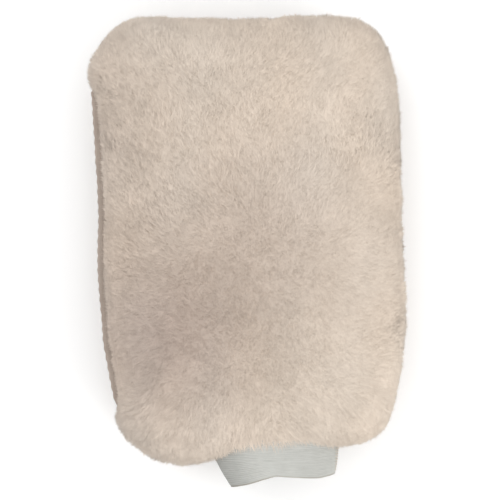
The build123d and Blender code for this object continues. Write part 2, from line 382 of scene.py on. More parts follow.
def pillow(name, inset, up, down, rim, crown=1.5):
    """A closed cushion: a rounded rim above and below the edge seam, and nearly flat faces."""
    rim_steps, face_steps, face_reach = 9, 8, 0.96
    rings = []
    for side, height in ((-1, down), (1, up)):
        half = []
        for k in range(rim_steps + 1):
            angle = math.pi / 2 * k / rim_steps
            flat = inset_ring(inset + rim * (1 - math.cos(angle)))
            half.append(np.c_[flat, np.full(OUTLINE_STEPS, MID_Z + side * height * math.sin(angle))])
        for k in range(1, face_steps + 1):
            share = face_reach * k / face_steps
            flat = inset_ring(inset + rim)
            flat = flat + (SPINE - flat) * share
            lift = crown * math.sin(share * math.pi / 2) if side > 0 else 0.0
            half.append(np.c_[flat, np.full(OUTLINE_STEPS, MID_Z + side * height + lift)])
        rings += half[::-1] if side < 0 else half[1:]
    points = np.vstack(rings)
    faces = []
    for r in range(len(rings) - 1):
        for k in range(OUTLINE_STEPS):
            n = (k + 1) % OUTLINE_STEPS
            a, b = r * OUTLINE_STEPS, (r + 1) * OUTLINE_STEPS
            faces.append((a + n, a + k, b + k, b + n))
    last = (len(rings) - 1) * OUTLINE_STEPS
    faces.append(tuple(range(OUTLINE_STEPS)))
    faces.append(tuple(range(last + OUTLINE_STEPS - 1, last - 1, -1)))
    return mesh_object(name, points, faces)


def flat_pillow(name, inset, half, rim):
    """A cushion with the same height above and below the edge seam, and no crown."""
    return pillow(name, inset, half, half, rim, 0.0)


def puff(obj):
    """Blows the cloth up like a filled mitt held at its edge seam, and limits each point's travel."""
    before = points_of(obj)
    cloth = obj.modifiers.new("cloth", "CLOTH")
    settings = cloth.settings
    seam = obj.vertex_groups.new(name="seam")
    seam.add(np.flatnonzero(np.abs(before[:, 2] - MID_Z) < SEAM_HOLD).tolist(), 1.0, "REPLACE")
    settings.vertex_group_mass = "seam"
    settings.use_pressure = True
    settings.uniform_pressure_force = PRESSURE
    settings.quality = 5
    settings.effector_weights.gravity = 0
    scene = bpy.context.scene
    cloth.point_cache.frame_start, cloth.point_cache.frame_end = 1, PUFF_FRAMES
    for step in range(1, PUFF_FRAMES + 1):
        scene.frame_set(step)
    apply_modifiers(obj)
    scene.frame_set(1)
    moved = points_of(obj) - before
    length = np.linalg.norm(moved, axis=1, keepdims=True)
    set_points(obj, before + moved * np.minimum(1, PUFF_CAP / np.maximum(length, 1e-9)))


def tunnel_solid(name, half, start_y, end_y):
    """An oval bar along Y through the wrist opening."""
    steps = 64
    angles = np.arange(steps) * 2 * math.pi / steps
    points = []
    for y in (start_y, end_y):
        points += [(TUNNEL_X + half[0] * math.cos(a), y, MID_Z + half[1] * math.sin(a)) for a in angles]
    faces = [(k, (k + 1) % steps, steps + (k + 1) % steps, steps + k) for k in range(steps)]
    faces += [tuple(range(steps - 1, -1, -1)), tuple(range(steps, 2 * steps))]
    return mesh_object(name, points, faces)


def block(name, low, high):
    x0, y0, z0 = low
    x1, y1, z1 = high
    points = [(x, y, z) for z in (z0, z1) for y in (y0, y1) for x in (x0, x1)]
    faces = [(0, 2, 3, 1), (4, 5, 7, 6), (0, 1, 5, 4), (2, 6, 7, 3), (0, 4, 6, 2), (1, 3, 7, 5)]
    return mesh_object(name, points, faces, False)


def split_pieces(obj, name):
    """Cuts a bag into its palm side and its finger side, and bakes the transform of each into its mesh."""
    palm_side = copy_of(obj, name + "_palm")
    keep_between(palm_side, -BEYOND, SPLIT_Y)
    finger_side = copy_of(obj, name + "_fingers")
    keep_between(finger_side, SPLIT_Y, BEYOND)
    remove(obj)
    bend_palm(palm_side)
    bend_fingers(finger_side)
    return palm_side, finger_side


def keep_between(obj, low_y, high_y):
    keep = block("keep", (-BEYOND, low_y, -BEYOND), (BEYOND, high_y, BEYOND))
    cut(obj, keep, "INTERSECT")
    remove(keep)


def bend_over(obj):
    """Bakes a piece's transform into its mesh."""
    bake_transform(obj)


def bend_palm(obj):
    bend_over(obj)


def bend_fingers(obj):
    bend_over(obj)


# ---------------------------------------------------------------- materials


def new_material(name):
    material = bpy.data.materials.new(name)
    material.use_nodes = True
    tree = material.node_tree
    return material, tree, tree.nodes["Principled BSDF"]


def node(tree, kind, **settings):
    made = tree.nodes.new(kind)
    for key, value in settings.items():
        if key in made.inputs:
            made.inputs[key].default_value = value
        else:
            setattr(made, key, value)
    return made


def math_node(tree, operation, first, second=0.0):
    made = node(tree, "ShaderNodeMath", operation=operation)
    for socket, value in zip(made.inputs, (first, second)):
        if isinstance(value, (int, float)):
            socket.default_value = value
        else:
            tree.links.new(value, socket)
    return made.outputs[0]


def ramp_node(tree, factor, stops):
    """A colour ramp over factor; stops are (position, colour)."""
    made = node(tree, "ShaderNodeValToRGB")
    elements = made.color_ramp.elements
    while len(elements) < len(stops):
        elements.new(0.5)
    for element, (position, colour) in zip(elements, stops):
        element.position = position
        element.color = (*colour, 1)
    tree.links.new(factor, made.inputs["Fac"])
    return made.outputs["Color"]


def multiply(tree, first, second):
    made = node(tree, "ShaderNodeMix", data_type="RGBA", blend_type="MULTIPLY")
    made.inputs["Factor"].default_value = 1.0
    tree.links.new(first, made.inputs[6])
    tree.links.new(second, made.inputs[7])
    return made.outputs[2]


def bump(tree, shader, height, distance):
    made = node(tree, "ShaderNodeBump", Strength=1.0, Distance=distance)
    tree.links.new(height, made.inputs["Height"])
    tree.links.new(made.outputs["Normal"], shader.inputs["Normal"])


def noise_node(tree, place, scale, detail):
    made = node(tree, "ShaderNodeTexNoise", Scale=scale, Detail=detail)
    tree.links.new(place, made.inputs["Vector"])
    return made.outputs["Fac"]


def place_node(tree):
    return node(tree, "ShaderNodeTexCoord").outputs["Object"]


def split_node(tree, vector):
    made = node(tree, "ShaderNodeSeparateXYZ")
    tree.links.new(vector, made.inputs[0])
    return list(made.outputs)


def add_scaled(tree, base, extra, amount):
    """base plus amount times extra."""
    made = math_node(tree, "MULTIPLY_ADD", extra, amount)
    tree.links.new(base, made.node.inputs[2])
    return made


def wave_node(tree, place, pitch):
    """A sine wave along place, with this pitch."""
    return math_node(tree, "SINE", math_node(tree, "MULTIPLY", place, 2 * math.pi / pitch))


def set_surface(tree, shader, colour, roughness, specular, sheen):
    tree.links.new(colour, shader.inputs["Base Color"])
    shader.inputs["Roughness"].default_value = roughness
    shader.inputs["Specular IOR Level"].default_value = specular
    shader.inputs["Sheen Weight"].default_value = sheen


def pile_material(root, tip):
    """Fibre colour times each tuft's own tone, with painted light: a little paler at the root, in place of
    the light that scatters within the pile. The tone carries the painted shade of the patches and partings
    too.
    """
    material, tree, shader = new_material("pile")
    along = node(tree, "ShaderNodeAttribute", attribute_name="along")
    tone = node(tree, "ShaderNodeAttribute", attribute_name="tone")
    fibre = ramp_node(tree, along.outputs["Fac"], [(0.0, root), (0.9, tip)])
    colour = multiply(tree, fibre, tone.outputs["Color"])
    set_surface(tree, shader, colour, roughness=0.95, specular=0.1, sheen=0.15)
    shader.inputs["Sheen Roughness"].default_value = 0.6
    shader.inputs["Sheen Tint"].default_value = (1.0, 0.95, 0.90, 1)
    return material


def cloth_material(name, dark, light, pitch, roughness=0.9, relief=0.03):
    """Plain woven or knitted cloth: crossing threads at pitch (mm), with slow shade changes."""
    material, tree, shader = new_material(name)
    place = place_node(tree)
    x, y, z = (wave_node(tree, axis, pitch * MM) for axis in split_node(tree, place))
    thread = math_node(tree, "ADD", math_node(tree, "ADD", x, y), z)
    pattern = add_scaled(tree, noise_node(tree, place, 60.0, 4.0), thread, 0.07)
    colour = ramp_node(tree, pattern, [(0.25, dark), (0.75, light)])
    set_surface(tree, shader, colour, roughness, specular=0.2, sheen=0.2)
    bump(tree, shader, thread, relief * MM)
    return material


def webbing_material(rib, pale, shadow, edge):
    """Ribbed elastic: fine ribs, cross threads, slow streaks, a grubby raw edge, and painted shade that is
    darkest at the left fold.
    """
    material, tree, shader = new_material("webbing")
    weave = node(tree, "ShaderNodeAttribute", attribute_name="weave").outputs["Vector"]
    along, row, border = split_node(tree, weave)
    cross = wave_node(tree, along, WEBBING_THREAD)
    height = add_scaled(tree, wave_node(tree, row, 1.0), cross, 0.35)
    stretch = node(tree, "ShaderNodeVectorMath", operation="MULTIPLY")
    stretch.inputs[1].default_value = (0.09, 1.6, 0.0)
    tree.links.new(weave, stretch.inputs[0])
    pattern = add_scaled(tree, noise_node(tree, stretch.outputs[0], 1.0, 3.0), height, 0.10)
    pattern = add_scaled(tree, pattern, noise_node(tree, place_node(tree), 260.0, 3.0), 0.3)
    colour = ramp_node(tree, pattern, [(0.40, shadow), (0.62, rib), (0.85, pale)])
    wear = ramp_node(tree, border, [(0.0, edge), (1.0, (1, 1, 1))])
    from_fold = math_node(tree, "MULTIPLY", along, 1 / FOLD_SHADE_REACH)
    painted_fold_shade = ramp_node(tree, from_fold, [(at, (tone, tone, tone)) for at, tone in FOLD_SHADE])
    colour = multiply(tree, multiply(tree, colour, wear), painted_fold_shade)
    set_surface(tree, shader, colour, roughness=0.75, specular=0.25, sheen=0.15)
    bump(tree, shader, height, 0.05 * MM)
    return material


def thread_material(name, dark, light, twist, roughness=0.6):
    """Spun thread or rubber: a fine slanting twist along it."""
    material, tree, shader = new_material(name)
    place = place_node(tree)
    x, y, z = split_node(tree, place)
    slant = math_node(tree, "ADD", math_node(tree, "ADD", x, y), z)
    wave = wave_node(tree, slant, twist * MM)
    pattern = add_scaled(tree, noise_node(tree, place, 900.0, 2.0), wave, 0.18)
    colour = ramp_node(tree, pattern, [(0.25, dark), (0.75, light)])
    set_surface(tree, shader, colour, roughness, specular=0.5, sheen=0.0)
    bump(tree, shader, wave, 0.04 * MM)
    return material


WEBBING_THREAD = 0.9
# Painted shade on the webbing, from its left fold, which faces away from the key light, to halfway round:
# share of the reach, and brightness.
FOLD_SHADE_REACH = 64.0
FOLD_SHADE = [(0.0, 0.58), (0.18, 0.74), (0.5, 1.0), (1.0, 0.92)]
PILE = pile_material(PILE_ROOT, PILE_TIP)
GROUND = cloth_material("ground_cloth", (0.42, 0.35, 0.29), (0.52, 0.44, 0.37), 1.4)
SEAM_TAPE = cloth_material("seam_edge", (0.31, 0.255, 0.215), (0.38, 0.315, 0.27), 1.1, relief=0.04)
LINING_CLOTH = cloth_material("lining_cloth", (0.74, 0.73, 0.70), (0.82, 0.81, 0.78), 0.9, roughness=0.7)
BINDING_TAPE = cloth_material("binding_tape", (0.50, 0.50, 0.48), (0.62, 0.62, 0.60), 0.7)
WEBBING = webbing_material(rib=(0.50, 0.503, 0.474), pale=(0.55, 0.553, 0.524),
                           shadow=(0.44, 0.443, 0.418), edge=(0.74, 0.69, 0.63))
THREAD = thread_material("sewing_thread", (0.46, 0.40, 0.33), (0.62, 0.56, 0.48), 0.8)
RUBBER = thread_material("rubber_thread", (0.60, 0.58, 0.50), (0.70, 0.68, 0.60), 2.0, roughness=0.5)


# ---------------------------------------------------------------- pile


def field_noise(points, scale, seed):
    """Smooth noise from about -1 to 1 at each point, from sine waves in random directions."""
    rng = np.random.default_rng(seed)
    total = np.zeros(len(points))
    waves = 14
    usual_peak = 1.6
    for _ in range(waves):
        direction = rng.normal(size=3)
        direction /= np.linalg.norm(direction)
        frequency = 2 * math.pi / (scale * rng.uniform(0.7, 1.6))
        total += np.sin(points @ direction * frequency + rng.uniform(0, 2 * math.pi))
    return total / math.sqrt(waves / 2) / usual_peak


def noise(points, *layers):
    """The sum of noises, each an amount, a size and a seed."""
    return sum(amount * field_noise(points, scale, seed) for amount, scale, seed in layers)


def sample_surface(obj, density, rng):
    """Random points on a mesh with their normals, more where density says, and none in the opening."""
    mesh = obj.data
    mesh.calc_loop_triangles()
    tris = np.empty(len(mesh.loop_triangles) * 3, np.int64)
    mesh.loop_triangles.foreach_get("vertices", tris)
    tris = tris.reshape(-1, 3)
    points = points_of(obj)
    normals = normals_of(obj)
    corner = points[tris]
    area = np.linalg.norm(np.cross(corner[:, 1] - corner[:, 0], corner[:, 2] - corner[:, 0]), axis=1) / 2
    weight = area * density(normals[tris].mean(1))
    count = int(weight.sum())
    pick = rng.choice(len(tris), count, p=weight / weight.sum())
    u, v = rng.random(count), rng.random(count)
    flip = u + v > 1
    u[flip], v[flip] = 1 - u[flip], 1 - v[flip]
    share = np.c_[1 - u - v, u, v][..., None]
    found = (corner[pick] * share).sum(1)
    normal = unit((normals[tris[pick]] * share).sum(1))
    good = ~in_tunnel(found)
    return found[good], normal[good]


def unit(v):
    return v / np.maximum(np.linalg.norm(v, axis=1, keepdims=True), 1e-9)


def from_centre(points):
    plan = points[:, :2] - np.array(FLOW_CENTRE)
    return plan, np.linalg.norm(plan, axis=1)


def flow_field(points, normals, rng):
    """The way the pile lies: outward from the middle, swirling slowly, and over the rim to the seam."""
    plan, distance = from_centre(points)
    flow = unit(np.c_[plan, np.zeros(len(points))])
    flow[:, 2] -= np.sign(points[:, 2] - MID_Z) * (1 - np.abs(normals[:, 2])) * FALL_TO_SEAM
    flow = unit(flow - normals * (flow * normals).sum(1, keepdims=True))
    turn = noise(points, *SWIRLS)
    loose = 1 - smooth(distance, *LOOSE_WITHIN)
    turn += rng.normal(0, 1, len(points)) * (TWIST + LOOSE_TWIST * loose)
    side = np.cross(normals, flow)
    return flow * np.cos(turn)[:, None] + side * np.sin(turn)[:, None]


def over_cuff(points):
    """1 where the front pile hangs over the top of the cuff."""
    near = 1 - smooth(points[:, 1], *HANG_Y)
    across = 1 - smooth(np.abs(points[:, 0] - HANG_X), 0, HANG_HALF)
    return near * across * smooth(points[:, 2], *HANG_Z)


def search_tree(points):
    tree = kdtree.KDTree(len(points))
    for k, point in enumerate(points):
        tree.insert(point, k)
    tree.balance()
    return tree


def lock_of(points, rng):
    """Which lock each tuft belongs to: the nearest of a set of random tufts."""
    count = max(1, int(len(points) * LOCK_SHARE))
    chosen = rng.choice(len(points), count, replace=False)
    tree = search_tree(points[chosen])
    return chosen[[tree.find(point)[1] for point in points]]


def clump_tone(points, rng):
    """Brightness that each tuft takes from its clump, and painted shade from the partings between clumps.
    """
    rough = CLUMP_RIGHT + (CLUMP_LEFT - CLUMP_RIGHT) * smooth(-points[:, 0], *CLUMP_FADE)
    shown = smooth(noise(points, PARTING_NOISE), *PARTING_SHOWN)
    size = points.max(0) - points.min(0)
    both_faces = size[0] * size[1] * 2
    total = np.zeros(len(points))
    for spacing, spread, parting_shade in CLUMPS:
        count = int(both_faces / spacing**2)
        tree = search_tree(points[rng.choice(len(points), count, replace=False)])
        tone = rng.normal(0, spread, count)
        found = [tree.find_n(point, 2) for point in points]
        clump = np.array([nearest[1] for nearest, _ in found])
        closeness = np.array([nearest[2] / max(next_one[2], 1e-6) for nearest, next_one in found])
        total += tone[clump] - parting_shade * shown * smooth(closeness, *PARTING_CLOSE)
    return total * rough


def tuft_points(roots, normals, flow, length, lean, width, rings, rng):
    """Corner points, shading normals and share along, for curved three-sided tufts with a tip."""
    count = len(roots)
    foot_lean, tip_lean = (lean * FOOT_LEAN)[:, None], (lean * TIP_LEAN)[:, None]
    first = normals * np.cos(foot_lean) + flow * np.sin(foot_lean)
    last = normals * np.cos(tip_lean) + flow * np.sin(tip_lean)
    middle = roots + first * (length * KNEE)[:, None]
    tip = middle + last * (length * (1 - KNEE))[:, None]
    lock = lock_of(roots, rng)
    gather = GATHER + (RIM_GATHER - GATHER) * (1 - np.abs(normals[:, 2:3]))
    gather *= 1 - over_cuff(roots)[:, None]
    tip += (tip[lock] - tip) * gather
    tip[:, 2] = np.maximum(tip[:, 2], LOWEST_TIP)
    middle[:, 2] = np.maximum(middle[:, 2], LOWEST_TIP)
    axis = unit(tip - roots)
    side = unit(np.cross(axis, normals) + rng.normal(0, SIDE_SPREAD, (count, 3)))
    other = np.cross(axis, side)
    centres = [roots - normals * SUNK, middle][:rings]
    points = np.empty((count, 3 * rings + 1, 3))
    facing = np.empty_like(points)
    spin = rng.uniform(0, 2 * math.pi, count)
    for k in range(3):
        angle = spin + k * 2 * math.pi / 3
        out = side * np.cos(angle)[:, None] + other * np.sin(angle)[:, None]
        for ring, (centre, radius) in enumerate(zip(centres, RING_RADII)):
            points[:, 3 * ring + k] = centre + out * (width * radius)[:, None]
            facing[:, 3 * ring + k] = unit(normals + out * FIBRE_SHADE)
    points[:, -1] = tip
    facing[:, -1] = unit(normals + flow * FIBRE_SHADE)
    along = np.repeat([0.0, KNEE][:rings], 3).tolist() + [1.0]
    return points, facing, np.tile(along, count)


def tuft_faces(rings):
    """Triangles of one tuft: the foot, the sides of each ring, and the tip."""
    faces = [(0, 2, 1)]
    top = 3 * rings
    for k in range(3):
        n = (k + 1) % 3
        for ring in range(rings - 1):
            low, high = 3 * ring, 3 * ring + 3
            faces += [(low + k, low + n, high + n), (low + k, high + n, high + k)]
        faces.append((top - 3 + k, top - 3 + n, top))
    return np.array(faces)


def pile_piece(name, groups, rng):
    """One mesh of tufts. Each group is (rings, roots, normals, flow, length, lean, width, tone)."""
    points, facing, along, tones, tris, plan = [], [], [], [], [], []
    start = 0
    for rings, roots, normals, flow, length, lean, width, tone in groups:
        made, normal, share = tuft_points(roots, normals, flow, length, lean, width, rings, rng)
        corners = tuft_faces(rings)
        size = made.shape[1]
        first = start + np.arange(len(roots)) * size
        tris.append((corners[None] + first[:, None, None]).reshape(-1, 3))
        points.append(made.reshape(-1, 3))
        facing.append(normal.reshape(-1, 3))
        along.append(share)
        tones.append(np.repeat(tone, size, axis=0))
        plan.append(np.repeat(roots[:, :2], len(corners) * 3, axis=0))
        start += len(roots) * size
    points, tris, plan = np.vstack(points), np.vstack(tris), np.vstack(plan)
    mesh = bpy.data.meshes.new(name)
    mesh.vertices.add(len(points))
    mesh.vertices.foreach_set("co", (points * MM).ravel())
    mesh.loops.add(len(tris) * 3)
    mesh.loops.foreach_set("vertex_index", tris.ravel().astype(np.int32))
    mesh.polygons.add(len(tris))
    mesh.polygons.foreach_set("loop_start", np.arange(0, len(tris) * 3, 3, dtype=np.int32))
    mesh.update(calc_edges=True)
    mesh.shade_smooth()
    set_attributes(mesh, np.concatenate(along), np.vstack(tones))
    # Each tuft's faces share one spot of this map, the place of its root in plan.
    layer = mesh.uv_layers.new(name="OFBake")
    low, high = plan.min(0), plan.max(0)
    layer.data.foreach_set("uv", ((plan - low) / (high - low)).astype(np.float32).ravel())
    mesh.normals_split_custom_set_from_vertices(np.vstack(facing).tolist())
    obj = bpy.data.objects.new(name, mesh)
    bpy.context.scene.collection.objects.link(obj)
    dress(obj, PILE)
    return obj


def set_attributes(mesh, along, tone):
    mesh.attributes.new("along", "FLOAT", "POINT").data.foreach_set("value", along.astype(np.float32))
    rgba = np.c_[tone, np.ones(len(tone))].astype(np.float32)
    mesh.attributes.new("tone", "FLOAT_COLOR", "POINT").data.foreach_set("color", rgba.ravel())


def in_tunnel(points):
    """True for points just inside the wrist opening, where no pile grows."""
    across = ((points[:, 0] - TUNNEL_X) / (PILE_TUNNEL[0] - OPENING_FRINGE)) ** 2
    across += ((points[:, 2] - MID_Z) / (PILE_TUNNEL[1] - OPENING_FRINGE)) ** 2
    return (across < 1) & (points[:, 1] < OPENING_Y)


def slow_tone(points):
    """Brightness and hue that change slowly over the mitt: mottling, and the patches of painted shade and
    light, where the pile is partly matted too.
    """
    value = 1 + noise(points, *TONE_NOISES)
    warm = noise(points, WARMTH_NOISE)
    tone = np.c_[value * (1 + warm), value, value * (1 - warm)]
    for centre, size, dark in MATTED_AND_PAINTED_LIGHT_PATCHES:
        share = np.exp(-(((points[:, :2] - centre) / size) ** 2).sum(1))
        tone *= 1 - dark * share[:, None] * PAINTED_PATCH_HUE
    return tone


def tuft_kind(skin, rings, density, spread, sizes, rng):
    """Where the tufts of one kind stand, and their flow, length, lean, width, tone and casting."""

    def thinned(facing):
        front, back = smooth(facing[:, 2], 0.2, 0.8), smooth(-facing[:, 2], 0.5, 0.9)
        return density * (0.9 + 0.2 * front - 0.4 * back)

    roots, normals = sample_surface(skin, thinned, rng)
    count = len(roots)
    facing = normals[:, 2]
    rim = 1 - np.abs(facing)
    hang = over_cuff(roots)
    lean = LEAN_MIDDLE + (LEAN_EDGE - LEAN_MIDDLE) * smooth(from_centre(roots)[1], 0, EDGE_DISTANCE)
    lean = lean + rng.normal(0, spread, count) + noise(roots, LEAN_NOISE)
    lean += LEAN_RIM * rim + LEAN_BACK * smooth(-facing, 0.3, 0.8)
    lean = np.radians(np.clip(lean, *LEAN_LIMITS) + HANG_LEAN * hang)
    length = rng.normal(PILE_LENGTH, LENGTH_SPREAD, count) * (1 + noise(roots, LENGTH_NOISE))
    length *= (1 + BARE_LENGTH * bare_seam(roots) * rim) * (1 + HANG_LENGTH * hang)
    length *= 1 + rim * noise(roots, RIM_LENGTH_NOISE)
    width = rng.uniform(*sizes, count)
    tone = slow_tone(roots) * (1 + clump_tone(roots, rng) + rng.normal(0, TONE_SPREAD, count))[:, None]
    flow = flow_field(roots, normals, rng)
    front = smooth(facing, 0.5, 0.8)
    casting = CASTING_LEFT + (CASTING_RIGHT - CASTING_LEFT) * smooth(roots[:, 0], *CASTING_FADE)
    casts = rng.random(count) < casting * front + CASTING_RIM * (1 - front)
    return rings, roots, normals, flow, length, lean, width, tone, casts


def grow_pile(skin):
    """All the tufts, as pieces for the front, the rim and the back on each side of the split.

    The first piece of each place holds the tufts that block scattered light.
    """
    rng = np.random.default_rng(SEED)
    kinds = [tuft_kind(skin, *kind, rng) for kind in TUFT_KINDS]
    for side, bend in (("palm", bend_palm), ("fingers", bend_fingers)):
        for place, low, high in PLACES:
            chosen = []
            faces = 0
            for rings, roots, normals, *_ in kinds:
                inside = (normals[:, 2] > low) & (normals[:, 2] <= high)
                inside &= (roots[:, 1] >= SPLIT_Y) == (side == "fingers")
                chosen.append(np.flatnonzero(inside))
                faces += len(chosen[-1]) * len(tuft_faces(rings))
            parts = max(1, math.ceil(faces / MOST_FACES))
            for part in range(parts + 1):
                groups = []
                for (rings, *values, casts), index in zip(kinds, chosen):
                    casting = casts[index]
                    mine = index[casting] if part == 0 else index[~casting][part - 1::parts]
                    groups.append((rings, *(value[mine] for value in values)))
                obj = pile_piece(f"pile_{place}_{side}_{part + 1}", groups, rng)
                obj.visible_shadow = FIBRE_SHADOWS
                obj.visible_diffuse = part == 0
                bend(obj)


# ---------------------------------------------------------------- layers of the mitt's body


def puffed_skin():
    """The surface that the pile grows from, blown up from a smaller cushion."""
    shrink = PUFF_ROOM
    skin = pillow("skin", ROOT_INSET + BARE_SEAM_INSET * BARE, ROOT_TOP - shrink, ROOT_BOTTOM - shrink, RIM)
    remesh(skin, SKIN_VOXEL)
    puff(skin)
    points = points_of(skin)
    points[:, 2] = np.maximum(points[:, 2], MID_Z - ROOT_BOTTOM)
    set_points(skin, points)
    modify(skin, "SUBSURF", levels=1, render_levels=1)
    return skin


def hollow(obj, inner):
    """Takes inner out of obj, and leaves it closed."""
    cut(obj, inner, "DIFFERENCE")
    remove(inner)


def open_wrist(obj, half):
    """Cuts the wrist opening through one layer."""
    hollow(obj, tunnel_solid("bar", half, WRIST_WALL_Y, PAST_CUFF_Y))


def nodes_named(*layers):
    return [name for name in frame["nodes"] if any(layer in name for layer in layers)]


def finish_layer(obj, name, material, slot, *replaced):
    """Splits a layer between the bends, and lets each side stand for its own CAD nodes."""
    for piece in split_pieces(obj, name):
        dress(piece, material)
        fingers = piece.name.endswith("fingers")
        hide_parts(*[part for part in replaced if part.endswith("fingers") == fingers])


def build_pile_base(skin):
    """The dense foot of the pile, between the skin and the backing."""
    grow_pile(skin)
    base = copy_of(skin, "base")
    remove(skin)
    hollow(base, flat_pillow("core", BACKING_INSET, BACKING_HALF, BACKING_RIM))
    open_wrist(base, PILE_TUNNEL)
    points = points_of(base)
    set_attributes(base.data, np.full(len(points), 0.2), slow_tone(points))
    finish_layer(base, "pile_base", PILE, "pile", *nodes_named("_pile_"))


def build_backing():
    """The woven ground that carries the pile, one sewn bag."""
    clear = 0.1
    bag = flat_pillow("bag", BACKING_INSET, BACKING_HALF - clear, BACKING_RIM)
    inside = (BACKING_INSET + BACKING, BACKING_HALF - BACKING, BACKING_RIM - BACKING / 2)
    hollow(bag, flat_pillow("inside", *inside))
    open_wrist(bag, BACKING_TUNNEL)
    finish_layer(bag, "backing", GROUND, "backing", *nodes_named("_backing_"))


def build_lining():
    """The soft bag that the hand goes into, with a neck that reaches the binding."""
    spare = 4.0
    bag = flat_pillow("bag", LINING_INSET, LINING_HALF, LINING_RIM)
    neck = tunnel_solid("neck", LINING_NECK, NECK_START_Y, NECK_END_Y - spare)
    cut(bag, neck, "UNION")
    remove(neck)
    remesh(bag, LINING_VOXEL)
    modify(bag, "SMOOTH", factor=0.5, iterations=6)
    points, normals = points_of(bag), normals_of(bag)
    loose = smooth(points[:, 1], NECK_END_Y + 8, NECK_END_Y + 45)
    fold = 0.9 * field_noise(points, 17, 31) + 0.5 * field_noise(points * [1, 0.35, 1], 9, 32)
    set_points(bag, points + normals * (np.minimum(fold, 1.3) * loose)[:, None])
    inside = copy_of(bag, "inside")
    set_points(inside, points_of(bag) - normals_of(bag) * LINING)
    hollow(bag, inside)
    keep_between(bag, NECK_END_Y, BEYOND)
    finish_layer(bag, "lining", LINING_CLOTH, "lining", *nodes_named("_lining_"))


def build_edge_seam():
    """The sewn edge between the front and back panels, puckered by its stitches."""
    walk = walk_along(TIP_OUTLINE)
    puckers = round(walk[-1] / PUCKER_PITCH)
    pucker = np.sin(2 * math.pi * puckers * walk / walk[-1])
    wander = field_noise(np.c_[TIP_OUTLINE, np.zeros(OUTLINE_STEPS)], 24, 41)
    outer = (1 - BARE[:, 0]) * SEAM_TUCK + 0.3 * pucker + 0.35 * wander
    height = MID_Z + 0.5 * wander + 0.25 * pucker
    points = []
    for k in range(SEAM_SECTIONS):
        angle = 2 * math.pi * k / SEAM_SECTIONS
        across = outer + SEAM_DEPTH / 2 * (1 - rounded(math.cos(angle), 0.6))
        lift = SEAM_HALF * rounded(math.sin(angle), 0.8)
        points.append(np.c_[inset_ring(across[:, None]), height + lift])
    at = np.arange(OUTLINE_STEPS * SEAM_SECTIONS).reshape(OUTLINE_STEPS, SEAM_SECTIONS)
    faces = []
    for k in range(OUTLINE_STEPS):
        here, there = at[k], at[(k + 1) % OUTLINE_STEPS]
        for s in range(SEAM_SECTIONS):
            t = (s + 1) % SEAM_SECTIONS
            faces.append((here[s], there[s], there[t], here[t]))
    strip = mesh_object("strip", np.stack(points, 1).reshape(-1, 3), faces)
    open_wrist(strip, PILE_TUNNEL)
    finish_layer(strip, "edge_seam", SEAM_TAPE, "backing")


def rounded(wave, power):
    """A sine or cosine made squarer by a power below 1."""
    return math.copysign(abs(wave) ** power, wave)


# ---------------------------------------------------------------- cuff

CUFF_STEPS = 320
# The mouth's oval seen along Y, as X and the height from the seam, from its left fold over the front.
MOUTH_LOOP = [
    (-10.1, 0.0), (-7.5, 4.4), (0.0, 8.4), (9.0, 11.8), (16.5, 13.6), (24.0, 12.4), (31.0, 11.4),
    (39.0, 12.0), (46.0, 10.6), (51.0, 6.2), (52.6, 0.0), (50.5, -6.5), (44.0, -11.2),
    (32.0, -13.2), (18.0, -13.4), (4.0, -11.2), (-5.5, -7.0),
]
# The mouth's edge seen from above: how far it reaches along Y at each X, in front and behind.
FRONT_EDGE = [
    (-10.1, -142.4), (0.9, -139.5), (9.0, -136.4), (16.8, -133.8), (22.3, -134.5), (31.5, -135.3),
    (42.5, -135.4), (52.6, -133.8),
]
BACK_EDGE = [(-10.1, -142.4), (10.0, -138.2), (30.0, -135.6), (52.6, -133.8)]
EDGE_SOFTENING = 12
CUFF_WALL = 1.8
CUFF_RIBS = 21
# Inside the mitt the ribs keep this pitch.
SEWN_RIB_PITCH = 1.05
RIB_RELIEF = 0.09
FRAY = 0.28
FRAY_PITCH = 3.2
RUBBER_RADIUS = 0.3
THREAD_RADIUS, JOIN_THREAD_RADIUS = 0.3, 0.32
# The front and back walls begin this share of the way from the hinge to the mouth.
WALL_SPLIT = 3.5 / CUFF_RIBS


def cuff_loops():
    """Evenly spaced (x, z) loops at the hinge and at the mouth, both from the left fold over the front."""
    half = (CUFF_HALF[0] - 0.3, CUFF_HALF[1] - 0.2)
    corners = 32
    turn = np.pi - np.arange(corners) * 2 * np.pi / corners
    base = closed_curve(np.c_[TUNNEL_X + half[0] * np.cos(turn), half[1] * np.sin(turn)], CUFF_STEPS)
    return base, closed_curve(MOUTH_LOOP, CUFF_STEPS)


BASE_LOOP, MOUTH_LINE = cuff_loops()


def mouth_y():
    """How far the cuff reaches along Y at each step round the mouth, softened like cloth."""
    front = np.interp(MOUTH_LINE[:, 0], *np.array(FRONT_EDGE).T)
    back = np.interp(MOUTH_LINE[:, 0], *np.array(BACK_EDGE).T)
    edge = np.where(MOUTH_LINE[:, 1] > 0, front, back)
    soft = np.array([0.25, 0.5, 0.25])
    for _ in range(EDGE_SOFTENING):
        edge = np.convolve(np.r_[edge[-1], edge, edge[0]], soft, "valid")
    return edge


MOUTH_Y = mouth_y()


